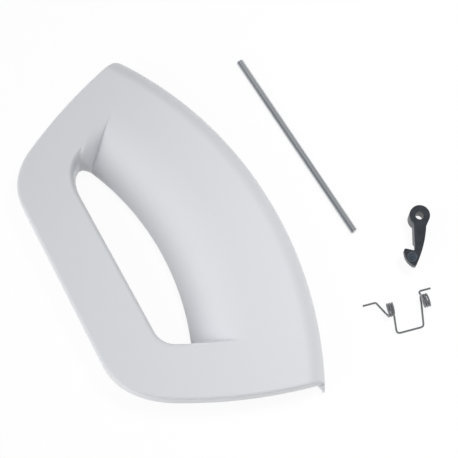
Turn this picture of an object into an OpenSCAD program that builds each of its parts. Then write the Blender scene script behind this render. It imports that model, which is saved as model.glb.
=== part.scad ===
// Door handle of a front-loading washing machine, as its fitting set:
// the grip moulding, its hinge pin, the latch hook and the torsion spring,
// laid out side by side on one flat surface.
// Origin: the hinge axis, midway between the two lugs on the back of the grip.
// +Y runs along the hinge axis, +X points away from the middle of the door.

/* [Door ring] */
// Radius of the round door edge that the handle follows
ring_r = 192; // [180:1:205]
// Angle from the middle of the handle to its upper end on the ring
ring_up = 29.6; // [29:0.1:30.4]
// Angle from the middle of the handle to its lower end on the ring
ring_down = 30.6; // [29:0.5:33]
// Distance from the round edge in to the hinge axis
hinge_inset = 38; // [36:0.5:42]

/* [Grip moulding] */
// Height of the face above the surface that the moulding lies on
face_h = 22; // [19:0.5:26]
// Radius of the gentle dome of the face
dome_r = 1400; // [1000:100:3000]
// Wall thickness of the moulding
wall = 2.4; // [1.8:0.1:3]
// Distance from the hinge axis to the outer edge of the grip bar
reach = 71.2; // [66:0.2:76]
// Lean of the grip bar's outer edge against the hinge axis
reach_lean = 5.7; // [4:0.1:7]
// Direction of the upper end's edge, turned from the X axis
upper_edge_turn = 17; // [14:1:20]
// Outward bulge of the upper end's edge
upper_bulge = 1.3; // [0:0.1:2]
// Direction of the lower end's edge, turned from the X axis
lower_edge_turn = -25; // [-30:1:-22]
// Outward bulge of the lower end's edge
lower_bulge = 2.5; // [1:0.1:3]
// Corner radius between the grip bar and the upper end
upper_corner_r = 24; // [18:1:28]
// Corner radius between the grip bar and the lower end
lower_corner_r = 36; // [28:1:40]
// Corner radius where the upper end meets the ring
tip_corner_r = 3.5; // [2:0.5:6]
// Radius of the outer edge round the grip bar and both ends
edge_r = 1.4; // [0.8:0.1:2]
// How far the face rolls down towards the round edge
ring_roll_w = 9; // [6:0.5:12]
// Height of that roll
ring_roll_h = 12; // [9:0.5:13]
// Height of the lower rim of both ends over the surface
end_lift = 8.5; // [7.5:0.5:10]
// Draft of the outer walls, as width gained down to the rim
draft_w = 1; // [0:0.1:1.5]
// Length of the spur past the lower end
spur_l = 4; // [2:0.5:6]

/* [Finger opening] */
// Distance from the round edge in to the low lip of the scoop
lip_inset = 58.8; // [56:0.2:61]
// Shift of the lip's centre along the hinge axis
lip_shift = 9.75; // [6:0.25:13]
// Distance of the lip's upper end from the middle
lip_up = 54.4; // [53:0.2:56]
// Distance of the lip's lower end from the middle
lip_down = 46.6; // [45:0.2:48]
// Height of the lip over the surface
lip_h = 5; // [4:0.5:7]
// Width over which the face rolls down to the lip
scoop_w = 27; // [22:0.5:30]
// Angle from the middle of the ring to the scoop's upper wall
scoop_up = 27; // [26:0.1:27.5]
// Angle from the middle of the ring to the scoop's lower wall
scoop_down = 24.7; // [23.5:0.1:25.5]
// Width over which the steep lower wall drops at the lip
steep_w = 2.4; // [1.8:0.1:3]
// Width over which it drops at the round edge
steep_ring_w = 0.9; // [0.8:0.1:2.4]
// Distance from the hinge axis to the inner edge of the grip bar
inner_reach = 43.6; // [41:0.2:46]
// Lean of the grip bar's inner edge against the hinge axis
inner_lean = 3.7; // [2:0.2:5]
// Height of the finger gap under the grip bar's inner edge
grip_gap = 11; // [9:0.5:13]
// Radius of the grip bar's inner edge
inner_edge_r = 2; // [1:0.1:3]
// Distance from the middle up to where the inner edge starts to curve
inner_straight = 41; // [38:0.5:43]
// Turn of the lip's outline as it leaves for the opening's upper end
end_turn = 6; // [0:1:12]
// How far the opening's upper end runs to a point
end_point = 10; // [7:0.5:11]
// Width over which the face rolls down round the opening's upper end
end_roll_w = 4; // [3:0.1:5]
// Height of that roll
end_roll_h = 13; // [10:0.5:14]
// Size of the opening's lower corner
lower_inner_corner = 11; // [8:0.5:13]

/* [Hinge] */
// Diameter of the hinge pin
pin_d = 4; // [3:0.1:5]
// Length of the hinge pin
pin_l = 106.6; // [90:0.2:115]
// Chamfer at the pin's ends
pin_chamfer = 0.5; // [0.2:0.1:0.9]
// Diametral clearance of the pin in the lugs
lug_play = 0.2; // [0.1:0.05:0.5]
// Height of the hinge axis over the surface
hinge_h = 5.2; // [4.8:0.1:5.6]
// Outer diameter of a lug round its bore
lug_d = 9.6; // [9:0.1:9.6]
// Thickness of a lug
lug_t = 4; // [3:0.5:5]
// How far a lug widens on each side up to the band
lug_flare = 3.5; // [2:0.5:5]
// Free width between the two lugs
lug_gap = 26; // [24:1:32]

/* [Latch hook] */
// Thickness of the hook
hook_t = 10.5; // [8:0.5:12]
// Thickness of the hook's arm and nose past the boss
hook_plate_t = 4.8; // [3.5:0.1:6]
// Diameter of the hook's boss
hook_boss_d = 10.2; // [9:0.1:12]
// Diametral clearance of the pin in the hook
hook_play = 0.4; // [0.2:0.05:0.6]
// Length from the bore to the tip
hook_l = 25.7; // [23:0.5:29]
// Width of the hook's arm
hook_arm_w = 5.6; // [5:0.1:7]
// Length from the bore to the throat
throat_l = 18; // [16:0.2:20]
// How far the nose reaches past the arm
nose_l = 5.4; // [4:0.2:6.4]
// Diameter of the round mark in the hook's face
mark_d = 4.4; // [3:0.2:5]
// Depth of the round mark
mark_depth = 0.4; // [0.2:0.1:0.8]

/* [Torsion spring] */
// Diameter of the spring wire
wire_d = 1; // [0.8:0.05:1.1]
// Clearance of the coils round the pin
coil_play = 1.1; // [0.8:0.1:2]
// Turns in each coil
coil_turns = 3; // [2:1:4]
// Distance from turn to turn
coil_pitch = 1.2; // [1.15:0.05:1.5]
// Free width between the two coils
coil_gap = 14.4; // [12:0.1:18]
// Length of the bridge's two arms
bridge_l = 11.7; // [9:0.1:14]
// Reach of each leg from the coils to its crank
leg_l = 6; // [5:0.2:9]
// Length of each leg's cranked end
crank_l = 6.6; // [4:0.2:9]

/* [Ribs] */
// Thickness of the ribs under the band
rib_t = 1.8; // [1.2:0.1:2.4]
// Distance of the ribs' start from the lip
rib_start = 9; // [8:0.5:12]
// Height of the ribs' lower edge over the surface
rib_lift = 8; // [7:0.5:10]
// Distance of the inner pair of ribs from the middle
rib_inner_y = 36; // [30:1:42]
// Distance of the outer pair of ribs from the middle
rib_outer_y = 58; // [52:1:64]

/* [Hidden] */
$fn = 64;

// The surface that everything lies on, and the middle of the door ring.
floor_z = -hinge_h;
ring_c = [hinge_inset - ring_r, 0];
lip_c = ring_c + [0, lip_shift];
lip_r = ring_r - lip_inset;
face_z = floor_z + face_h;
scoop_d = face_h - lip_h;

// Middle of the dome of the face, near the middle of the moulding.
dome_c = [-20, -5];

// Places and turns of the loose pieces on the surface.
pin_pos = [66.4, 11.5];
hook_pos = [96.7, -53.4];
hook_turn = -32.5;
spring_pos = [67.5, -87.3];
spring_turn = -17.5;

// Plain helpers: directions, distances and turned vectors.
function along(a) = [cos(a), sin(a)];
function unit(v) = v / norm(v);
function left_of(v) = [-v[1], v[0]];
function cross2(a, b) = a[0] * b[1] - a[1] * b[0];
function meet(p, u, q, v) = p + u * cross2(q - p, v) / cross2(u, v);
function mix(a, b, s) = a + (b - a) * s;
function steps(n, k = 1) = [for (i = [0 : n - 1]) pow(i / n, k)];

// Points of the outline pieces. Each leaves out its own last point, which the next one starts with.
function arc_run(c, r, a0, a1, n) = [for (s = steps(n)) c + r * along(mix(a0, a1, s))];
function bulge_points(p, q, b, shares) =
    [for (s = shares) mix(p, q, s) - left_of(unit(q - p)) * 4 * b * s * (1 - s)];
function bulge_run(p, q, b, n, k = 1) = bulge_points(p, q, b, steps(n, k));
// The same, with its points crowded towards the end.
function late_run(p, q, b, n, k) = bulge_points(p, q, b, [for (i = [0 : n - 1]) 1 - pow(1 - i / n, k)]);

// A smooth corner from p, leaving along u, to q, arriving along v. A k above 1 crowds its start.
function corner_run(p, u, q, v, n, k = 1) =
    let (turn = acos(u * v),
         h = norm(q - p) * 2 / 3 / (1 + cos(turn / 2)),
         p1 = p + u * h,
         q1 = q - v * h)
    [for (s = steps(n, k))
        pow(1 - s, 3) * p + 3 * s * pow(1 - s, 2) * p1 + 3 * s * s * (1 - s) * q1 + pow(s, 3) * q];

// A free curve from p along u to q along v, pulled by a at its start and by b at its end.
function curve_run(p, u, a, q, v, b, n, k) =
    let (p1 = p + u * a,
         q1 = q - v * b)
    [for (s = steps(n, k))
        pow(1 - s, 3) * p + 3 * s * pow(1 - s, 2) * p1 + 3 * s * s * (1 - s) * q1 + pow(s, 3) * q];

// Direction at the start (side = 1) or the end (side = -1) of a bulged edge.
function bulge_dir(p, q, b, side) =
    unit(unit(q - p) - side * left_of(unit(q - p)) * 4 * b / norm(q - p));

// Outer outline of the moulding, anticlockwise from the scoop's lower wall.
ring_top = ring_c + ring_r * along(ring_up);
ring_low = ring_c + ring_r * along(-ring_down);
upper_dir = -along(upper_edge_turn);
grip_dir = -along(90 - reach_lean);
lower_dir = along(lower_edge_turn);
upper_corner = meet(ring_top, upper_dir, [-reach, 0], grip_dir);
lower_corner = meet(ring_low, lower_dir, [-reach, 0], grip_dir);
upper_trim = upper_corner_r * tan(acos(upper_dir * grip_dir) / 2);
lower_trim = lower_corner_r * tan(acos(grip_dir * lower_dir) / 2);
tip_trim = tip_corner_r * 1.2;
tip_angle = tip_trim / ring_r * 180 / PI;
upper_p = ring_top + upper_dir * tip_trim;
upper_q = upper_corner - upper_dir * upper_trim;
grip_p = upper_corner + grip_dir * upper_trim;
grip_q = lower_corner - grip_dir * lower_trim;
lower_p = lower_corner + lower_dir * lower_trim;
lower_q = ring_low - lower_dir * edge_r * 0.7;

// Stations per piece of the outline. Both outlines have the same number in all.
n_scoop = 34;
n_ring_top = 3;
n_tip = 4;
n_upper = 9;
n_upper_corner = 8;
n_grip = 9;
n_lower_corner = 9;
n_lower = 14;
n_ring_low = 2;
n_steep = 3;

steep_a = steep_ring_w / ring_r * 180 / PI;
outer_run = concat(
    arc_run(ring_c, ring_r, -scoop_down, scoop_up, n_scoop),
    arc_run(ring_c, ring_r, scoop_up, ring_up - tip_angle, n_ring_top),
    corner_run(ring_c + ring_r * along(ring_up - tip_angle), along(90 + ring_up - tip_angle),
        upper_p, bulge_dir(upper_p, upper_q, upper_bulge, 1), n_tip),
    bulge_run(upper_p, upper_q, upper_bulge, n_upper),
    corner_run(upper_q, bulge_dir(upper_p, upper_q, upper_bulge, -1), grip_p, grip_dir, n_upper_corner),
    bulge_run(grip_p, grip_q, 0, n_grip),
    corner_run(grip_q, grip_dir, lower_p, bulge_dir(lower_p, lower_q, lower_bulge, 1), n_lower_corner),
    late_run(lower_p, lower_q, lower_bulge, n_lower, 1.8),
    bulge_run(lower_q, ring_low, 0, 1),
    arc_run(ring_c, ring_r, -ring_down, -scoop_down - steep_a, n_ring_low),
    arc_run(ring_c, ring_r, -scoop_down - steep_a, -scoop_down, n_steep));

// Outline of the finger opening, with the same stations.
scoop_low_p = ring_c + ring_r * along(-scoop_down);
lip_up_a = asin((lip_up - lip_shift) / lip_r);
lip_down_a = -asin((lip_down + lip_shift) / lip_r);
lip_low = lip_c + lip_r * along(lip_down_a);
lip_top = lip_c + lip_r * along(lip_up_a);
inner_dir = -along(90 - inner_lean);
inner_top = [-inner_reach, 0] - inner_dir * inner_straight;
lower_wall_dir = unit(scoop_low_p - lip_low);
steep_p = lip_low - left_of(lower_wall_dir) * steep_w;
fan_p = steep_p - lower_wall_dir * steep_w * 0.8;
inner_corner = meet([-inner_reach, 0], inner_dir, steep_p, lower_wall_dir);
inner_trim = min(lower_inner_corner * 0.62, norm(fan_p - inner_corner) * 0.7);
inner_q = inner_corner - inner_dir * inner_trim;
lower_wall_p = inner_corner + lower_wall_dir * inner_trim;

n_top_end = 18;
n_inner = 22;
n_inner_corner = 7;
n_lower_wall = 4;
n_fan = 8;
inner_run = concat(
    arc_run(lip_c, lip_r, lip_down_a, lip_up_a, n_scoop),
    curve_run(lip_top, along(90 + lip_up_a + end_turn), end_point,
        inner_top, inner_dir, end_point * 1.4, n_top_end, 1.3),
    bulge_run(inner_top, inner_q, 0, n_inner),
    corner_run(inner_q, inner_dir, lower_wall_p, lower_wall_dir, n_inner_corner),
    bulge_run(lower_wall_p, fan_p, 0, n_lower_wall),
    bulge_run(fan_p, steep_p, 0, n_fan),
    bulge_run(steep_p, lip_low, 0, n_steep));

n_all = len(outer_run);

// How far the scoop's form holds at each station: 1 in the scoop, 0 on the frame.
// The upper wall rolls over in a quarter circle, the lower wall is steep.
n_roll = 7;
function scoop_share(i) =
    i <= n_scoop ? 1
    : i < n_scoop + n_roll ? 1 - sqrt(1 - pow(1 - (i - n_scoop) / n_roll, 2))
    : i > n_all - n_steep ? pow((i - n_all + n_steep) / n_steep, 1.5)
    : 0;

// The same for the underside, which falls a wall's thickness further out.
n_skin = 2;
function under_share(i) =
    i <= n_scoop + n_skin ? 1
    : i < n_scoop + n_roll + n_skin ? scoop_share(i - n_skin)
    : i >= n_all - n_steep - n_skin ? 1
    : 0;

// How far the deep roll round the opening's upper end holds at each station, and its
// width, which grows towards the scoop's upper wall. In the scoop it only spaces the points.
function end_share(i) =
    min(ease(i / 6), 1 - ease((i - n_scoop - 0.45 * n_top_end) / (0.6 * n_top_end)));
function end_width(i) = end_roll_w * mix(3, 1, ease((i - n_scoop) / (0.55 * n_top_end)));

// How far the ring's roll and deep skirt hold at each station.
n_ring_end = n_scoop + n_ring_top;
function ring_share(i) =
    i <= n_ring_end ? 1
    : i < n_ring_end + n_tip ? 1 - (i - n_ring_end) / n_tip
    : i >= n_all - n_steep - n_ring_low ? 1
    : 0;

// Least height of an outer wall where the face has rolled down close to the ring.
rim_least = wall * 0.6;

// Height of the rim of the outer wall: down on the surface, or lifted at both ends.
n_lift_a = n_ring_end + n_tip;
n_lift_b = n_lift_a + n_upper;
n_lift_c = n_lift_b + n_upper_corner + n_grip;
n_lift_d = n_lift_c + n_lower_corner;
n_lift_e = n_all - n_steep - n_ring_low;
function ease(s) = let (t = max(0, min(1, s))) t * t * (3 - 2 * t);
function rim_lift(i) =
    end_lift * (i < n_lift_a - 2 ? 0
        : i < n_lift_b ? ease((i - n_lift_a + 2) / 2)
        : i < n_lift_c ? 1 - ease((i - n_lift_b) / n_upper_corner)
        : i < n_lift_d ? ease((i - n_lift_c) / n_lower_corner)
        : i <= n_lift_e ? 1
        : 0);

// Height of the lower edge of the opening's wall: the lip's, or the finger gap under the bar.
function inner_rim(i) =
    let (low = lip_h - wall * 1.5,
         a = n_scoop + n_skin,
         b = n_scoop + n_top_end,
         d = n_all - n_steep - n_skin,
         c = d - n_fan - n_lower_wall + n_skin)
    i <= a || i >= d ? low
    : i < b ? mix(low, grip_gap, ease((i - a) / (b - a)))
    : i > c ? mix(grip_gap, low, ease((i - c) / (d - c)))
    : grip_gap;

// Face of the moulding over a plan point: a gentle dome that rolls down to the round edge.
function quarter(x) = 1 - sqrt(max(0, 1 - x * x));
function dome_at(p) = face_z - pow(norm(p - dome_c), 2) / dome_r / 2;
function ring_roll(p, skin) =
    let (e = ring_r - norm(p - ring_c))
    (ring_roll_h - skin) * quarter(max(0, min(1, (ring_roll_w - e) / (ring_roll_w - skin))));
function face_at(p) = dome_at(p) - ring_roll(p, 0);
function scoop_fall(d) = d < scoop_w ? scoop_d * pow(1 - d / scoop_w, 2) : 0;
function scoop_slope(d) = d < scoop_w ? 2 * scoop_d / scoop_w * (1 - d / scoop_w) : 0;

// One closed section of the shell, as points from the opening's rim over the face
// to the outer rim and back on the underside.
roll_marks = [1, 0.72, 0.4, 0.14, 0];
face_marks = [0.08, 0.17, 0.27, 0.38, 0.5, 0.64, 0.8, 1];
ring_marks = [0.3, 0.5, 0.68, 0.84, 0.95, 1];

// Direction of an outline at a station, from its two neighbours.
function chord(run, i) = unit(run[(i + 1) % n_all] - run[(i + n_all - 1) % n_all]);

function section(i) =
    let (p = inner_run[i],
         q = outer_run[i],
         run = norm(q - p),
         u = (q - p) / run,
         g = ring_share(i),
         radial = unit(q - ring_c),
         out_t = g == 1 ? left_of(radial) : chord(outer_run, i),
         in_t = chord(inner_run, i),
         out_k = 1 / max(0.5, abs(cross2(out_t, u))),
         in_k = 1 / max(0.5, abs(cross2(in_t, u))),
         w = scoop_share(i),
         // the outer points cover the edge's rounding, or what the ray crosses of the ring's roll
         ring_gap = ring_r - norm(q - ring_c),
         roll_w = max(edge_r * out_k, (ring_roll_w - ring_gap) / max(0.5, u * radial)),
         edge_h = edge_r * (1 - g),
         edge_fall = function (d) edge_h * quarter(max(0, 1 - (run - d) / edge_r / out_k)),
         end = end_share(i),
         in_r = min(mix(inner_edge_r, end_width(i), end) * in_k, run * 0.4),
         in_h = mix(inner_edge_r, end_roll_h, end) * (1 - w),
         flare = draft_w * (1 - g) * out_k,
         skin = wall * out_k,
         w_in = under_share(i),
         top = function (d) face_at(p + u * d) - w * scoop_fall(d),
         in_w = wall * in_k,
         under_h = end_roll_h * end * (1 - w_in),
         // underside: the wall's thickness is kept square to the slope
         under = function (d) dome_at(p + u * d) - ring_roll(p + u * d, wall)
             - w_in * scoop_fall(d) - wall * sqrt(1 + pow(w_in * scoop_slope(d), 2))
             - (under_h > 0 ? under_h * quarter(max(0, min(1, (in_r + in_w - d) / in_r))) : 0),
         rim_in = min(floor_z + inner_rim(i), top(0) - in_h - wall * 1.3),
         rim_out = floor_z + min(rim_lift(i), face_at(q) - floor_z - edge_h - rim_least),
         face_d = [for (m = face_marks) mix(in_r, run - roll_w, m)],
         under_w = max(rim_least, roll_w - skin),
         under_d = [for (m = [0, 0.12, 0.26, 0.42, 0.62, 1]) mix(in_w, run - skin - under_w, m)])
    concat(
        [[0, rim_in]],
        [for (m = roll_marks) [in_r * (1 - m), top(in_r * (1 - m)) - in_h * quarter(m)]],
        [for (d = face_d) [d, top(d)]],
        [for (m = ring_marks)
            let (d = run - roll_w * (1 - m)) [d, top(d) - edge_fall(d)]],
        [[run + flare, rim_out]],
        [[run + flare - skin, rim_out]],
        [for (m = [1, 0.9, 0.6])
            let (d = run - skin - under_w * (1 - m)) [d, under(d)]],
        [for (k = [len(under_d) - 1 : -1 : 0]) [under_d[k], under(under_d[k])]],
        [[in_w, rim_in]]);

// The shell: the sections joined round the finger opening.
module shell() {
    sections = [for (i = [0 : n_all - 1]) section(i)];
    m = len(sections[0]);
    pts = [for (i = [0 : n_all - 1])
        let (p = inner_run[i], u = unit(outer_run[i] - inner_run[i]))
        for (s = sections[i]) [p[0] + u[0] * s[0], p[1] + u[1] * s[0], s[1]]];
    faces = [for (i = [0 : n_all - 1], k = [0 : m - 1])
        let (a = i * m + k,
             b = i * m + (k + 1) % m,
             c = ((i + 1) % n_all) * m + (k + 1) % m,
             d = ((i + 1) % n_all) * m + k)
        each [[a, c, b], [a, d, c]]];
    polyhedron(points = pts, faces = faces, convexity = 8);
}

// Height of the middle of the band's wall, from the distance past the lip.
function band_mid(p) =
    let (d = norm(p - lip_c) - lip_r)
    dome_at(p) - scoop_fall(d) - wall / 2 * sqrt(1 + pow(scoop_slope(d), 2));

// A lug: a boss round the bore that widens up into the underside of the band.
// Its top line follows the middle of the wall.
lug_half = lug_d / 2 + lug_flare;
module lug(y) {
    top_line = [for (x = [-lug_half : lug_half / 4 : lug_half]) [x, band_mid([x, y])]];
    translate([0, y + lug_t / 2, 0])
    rotate([90, 0, 0])
    difference() {
        union() {
            cylinder(d = lug_d, h = lug_t);
            linear_extrude(lug_t) polygon(concat([[lug_d / 2, 0], [-lug_d / 2, 0]], top_line));
        }
        translate([0, 0, -1]) cylinder(d = pin_d + lug_play, h = lug_t + 2);
    }
}

// A rib across the band, from the roll-down of the scoop out into the skirt.
rib_level = scoop_w * 1.07;
function band_x(c, r, y) = c[0] + sqrt(r * r - pow(y - c[1], 2));
module rib(y) {
    face_line = [for (s = [0 : 0.2 : 1])
        let (x = band_x(lip_c, lip_r + mix(rib_start, rib_level, s), y)) [x, band_mid([x, y])]];
    roll_line = [for (a = [0 : 22.5 : 90])
        let (e = ring_roll_w - (ring_roll_w - wall / 2) * sin(a),
             x = band_x(ring_c, ring_r - e, y))
        [x, dome_at([x, y]) - ring_roll_h + (ring_roll_h - wall / 2) * cos(a)]];
    translate([0, y + rib_t / 2, 0])
    rotate([90, 0, 0])
    linear_extrude(rib_t)
    polygon(concat(
        face_line,
        roll_line,
        [[band_x(ring_c, ring_r - wall / 2, y), floor_z + rib_lift],
         [face_line[0][0], floor_z + rib_lift]]));
}

// The spur: the foot of the skirt runs on past the lower end and narrows to a tip.
spur_h = end_lift - rim_least;
spur_turn = spur_l / ring_r * 180 / PI;
module spur() {
    inner_r = ring_r - wall * 1.4;
    outer_r = ring_r - wall * 0.04;
    root = -ring_down + 0.6;
    tip = -ring_down - spur_turn;
    translate([0, 0, floor_z])
    linear_extrude(spur_h)
    polygon(concat(
        [for (s = [0 : 0.25 : 1]) ring_c + outer_r * along(mix(root, tip, s))],
        [ring_c + (outer_r - wall * 0.38) * along(tip),
         ring_c + inner_r * along(-ring_down),
         ring_c + (inner_r + rim_least) * along(root)]));
}

module grip_moulding() {
    color([0.86, 0.87, 0.88])
    union() {
        shell();
        lug(lug_gap / 2 + lug_t / 2);
        lug(-lug_gap / 2 - lug_t / 2);
        for (y = [-rib_outer_y, -rib_inner_y, rib_inner_y, rib_outer_y]) rib(y);
        spur();
    }
}

// Plain round pin with chamfered ends, lying along Y.
module hinge_pin() {
    half = pin_l / 2;
    end_r = pin_d / 2 - pin_chamfer;
    color([0.7, 0.71, 0.72])
    translate([pin_pos[0], pin_pos[1], floor_z + pin_d / 2])
    rotate([90, 0, 0])
    rotate_extrude()
    polygon([
        [0, -half],
        [end_r, -half],
        [pin_d / 2, pin_chamfer - half],
        [pin_d / 2, half - pin_chamfer],
        [end_r, half],
        [0, half]]);
}

// Outline of the hook about its bore: the arm hangs down from the boss, with the throat
// and the nose on its left and a long curved back on its right.
arm_left = -hook_arm_w * 0.5;
arm_right = hook_arm_w * 0.55;
arm_top = -hook_boss_d * 0.55;
nose_x = arm_left - nose_l;
tip_x = arm_left * 1.1;
throat_r = hook_arm_w * 0.16;
throat_c = [arm_left - throat_r, throat_r - throat_l];
// The rounding of the nose's and the tip's corners.
blunt = nose_l * 0.17;
boss_side = [hook_boss_d * 0.46, -hook_boss_d * 0.2];
hook_outline = concat(
    [[0, 0], [arm_left * 1.1, 0], [arm_left, -throat_l * 0.7]],
    [for (a = [0, 15, 40, 65]) throat_c + throat_r * [cos(a), -sin(a)]],
    [[nose_x + blunt, blunt * 1.1 - throat_l]],
    [[nose_x + blunt * 0.33, blunt * 0.9 - throat_l]],
    [[nose_x, blunt * 0.2 - throat_l]],
    bulge_run([nose_x, -throat_l - blunt * 0.3], [tip_x - blunt * 0.8, blunt * 0.2 - hook_l], blunt * 1.2, 6),
    [[tip_x - blunt * 0.8, blunt * 0.2 - hook_l]],
    [[tip_x, -hook_l]],
    [[tip_x + blunt * 0.8, blunt * 0.3 - hook_l]],
    bulge_run([tip_x + blunt * 1.1, blunt * 0.8 - hook_l], [arm_right, arm_top], blunt, 8),
    [[arm_right, arm_top], boss_side]);

// The arm's thick part ends at a rounded foot just above the throat.
foot_y = -throat_l * 0.76;
foot_outline = [
    [arm_left * 1.1, 0],
    [arm_left * 1.03, foot_y + blunt],
    [arm_left + blunt * 0.8, foot_y],
    [arm_right * 0.36, foot_y],
    [arm_right * 0.68, foot_y + blunt],
    [arm_right * 0.94, arm_top],
    boss_side,
    [0, 0]];
mark_pos = [nose_x + mark_d * 0.9, -mix(throat_l, hook_l, 0.42)];

module latch_hook() {
    color([0.26, 0.28, 0.29])
    translate([hook_pos[0], hook_pos[1], floor_z])
    rotate(hook_turn)
    difference() {
        union() {
            cylinder(d = hook_boss_d, h = hook_t);
            linear_extrude(hook_t) polygon(foot_outline);
            translate([0, 0, hook_t - hook_plate_t]) linear_extrude(hook_plate_t) polygon(hook_outline);
        }
        translate([0, 0, -1]) cylinder(d = pin_d + hook_play, h = hook_t + 2);
        translate([mark_pos[0], mark_pos[1], hook_t - mark_depth]) cylinder(d = mark_d, h = mark_depth + 1);
    }
}

// The spring's wire as one centre line. Each half starts at the bridge, winds its coil
// outwards from its lowest point and leaves it, down on the surface, to the cranked leg.
coil_r = (pin_d + coil_play + wire_d) / 2;
wire_r = wire_d / 2;
coil_low = wire_r + wire_d * 1.15;
coil_steps = 16;
// The coils end this many steps short of their lowest point.
coil_short = 2;
bridge_bend_r = wire_d * 1.8;
knee_bend_r = wire_d * 1.2;
dip_bend_r = wire_d * 0.8;
// Sideways set of the bridge and of the legs against the coils, as the wire lies.
bridge_set = -coil_pitch * 1.5;
leg_set = -coil_pitch * 3;

function bend(p, v, q, r) =
    let (a = unit(p - v), b = unit(q - v), t = r * tan((180 - acos(a * b)) / 2))
    [for (s = [0 : 0.25 : 1]) (1 - s) * (1 - s) * (v + a * t) + 2 * s * (1 - s) * v + s * s * (v + b * t)];

function coil_point(side, k) =
    let (a = k * 360 / coil_steps)
    [side * (coil_gap / 2 + coil_pitch * a / 360), coil_r * sin(a), coil_low + coil_r * (1 - cos(a))];

function spring_half(side) =
    let (near = side * coil_gap / 2,
         last = coil_turns * coil_steps - coil_short,
         finish = coil_point(side, last),
         knee = [side * (coil_gap / 2 + coil_turns * coil_pitch) + leg_set, leg_l, wire_r],
         swing = side < 0 ? 0.2 : 0.04,
         dip = [mix(finish[0], knee[0], swing), 0, wire_r],
         corner = [near - side * wire_d * 0.3 + bridge_set, -bridge_l, wire_r],
         tip = knee + [side * crank_l, 0, 0])
    concat(
        bend([0, -bridge_l, wire_r], corner, coil_point(side, 0), bridge_bend_r),
        [for (k = [0 : last]) coil_point(side, k)],
        bend(finish, dip, knee, dip_bend_r),
        bend(dip, knee, tip, knee_bend_r),
        [tip]);

function reversed(v) = [for (k = [len(v) - 1 : -1 : 0]) v[k]];

// A tube of wire along a line of points, with rings that don't twist.
module wire(path, r, sides) {
    n = len(path);
    tangents = [for (k = [0 : n - 1]) unit(path[min(k + 1, n - 1)] - path[max(k - 1, 0)])];
    first = unit(cross(tangents[0], [0, 0, 1]));
    normals = [for (k = 0, v = first; k < n;
        k = k + 1, v = k < n ? unit(v - tangents[k] * (v * tangents[k])) : v) v];
    pts = [for (k = [0 : n - 1], j = [0 : sides - 1])
        let (a = j * 360 / sides, across = cross(tangents[k], normals[k]))
        path[k] + r * (cos(a) * normals[k] + sin(a) * across)];
    skin = [for (k = [0 : n - 2], j = [0 : sides - 1])
        let (a = k * sides + j, b = k * sides + (j + 1) % sides)
        each [[a, a + sides, b], [b, a + sides, b + sides]]];
    caps = [[for (j = [0 : sides - 1]) j], [for (j = [sides - 1 : -1 : 0]) (n - 1) * sides + j]];
    polyhedron(points = pts, faces = concat(skin, caps), convexity = 10);
}

module torsion_spring() {
    color([0.45, 0.47, 0.49])
    translate([spring_pos[0], spring_pos[1], floor_z])
    rotate(spring_turn)
    wire(concat(reversed(spring_half(-1)), spring_half(1)), wire_r, 8);
}

grip_moulding();
hinge_pin();
latch_hook();
torsion_spring();
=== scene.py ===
import bmesh
import bpy
import numpy as np
from mathutils import Matrix, Vector


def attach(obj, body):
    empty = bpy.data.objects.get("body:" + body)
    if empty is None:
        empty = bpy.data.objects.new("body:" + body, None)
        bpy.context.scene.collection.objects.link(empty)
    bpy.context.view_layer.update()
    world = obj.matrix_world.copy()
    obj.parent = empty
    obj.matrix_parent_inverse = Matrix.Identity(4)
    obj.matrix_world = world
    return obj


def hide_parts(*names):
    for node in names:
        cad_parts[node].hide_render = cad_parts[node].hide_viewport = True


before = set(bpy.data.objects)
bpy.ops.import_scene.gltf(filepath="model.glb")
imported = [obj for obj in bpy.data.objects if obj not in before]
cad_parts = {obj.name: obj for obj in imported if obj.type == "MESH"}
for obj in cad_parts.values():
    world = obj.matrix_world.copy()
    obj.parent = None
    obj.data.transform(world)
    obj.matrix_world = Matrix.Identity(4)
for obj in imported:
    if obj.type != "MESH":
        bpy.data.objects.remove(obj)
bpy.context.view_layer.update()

# The camera looks almost straight down, tilted a little towards the bottom of the picture. Lengths
# are in millimetres until they go into a mesh. Lamps and camera are placed in metres.
MM = 0.001
floor_z = -5.2
half_table = 1600.0
bpy.context.scene.view_settings.view_transform = "Standard"


def place_mesh(mesh, smooth=True, crease=35):
    """An object at the origin that shows a mesh. Edges that turn by more than the crease angle
    stay sharp."""
    mesh.polygons.foreach_set("use_smooth", np.full(len(mesh.polygons), smooth))
    mesh.update()
    if smooth:
        mesh.set_sharp_from_angle(angle=np.radians(crease))
    obj = bpy.data.objects.new(mesh.name, mesh)
    bpy.context.scene.collection.objects.link(obj)
    return obj


def new_object(name, points, faces, **look):
    """A mesh object from an array of points in millimetres and a list of faces."""
    mesh = bpy.data.meshes.new(name)
    mesh.from_pydata((np.reshape(points, (-1, 3)) * MM).tolist(), [], faces)
    return place_mesh(mesh, **look)


def node_material(name, **values):
    """A material, its node tree and its shader, whose own sockets get the values."""
    material = bpy.data.materials.new(name)
    material.use_nodes = True
    tree = material.node_tree
    shader = tree.nodes["Principled BSDF"]
    for label, value in values.items():
        shader.inputs[label.replace("_", " ")].default_value = value
    return material, tree, shader


def put(tree, kind, feeds=(), **settings):
    """A new node with its settings. Each feed names an input and gives the socket that is linked
    to it, or its plain value."""
    node = tree.nodes.new(kind)
    for key, value in settings.items():
        setattr(node, key, value)
    for label, feed in dict(feeds).items():
        if isinstance(feed, bpy.types.NodeSocket):
            tree.links.new(feed, node.inputs[label])
        else:
            node.inputs[label].default_value = feed
    return node


table = new_object("table", [
    (-half_table, -half_table, floor_z), (half_table, -half_table, floor_z),
    (half_table, half_table, floor_z), (-half_table, half_table, floor_z)], [(0, 1, 2, 3)], smooth=False)

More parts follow.
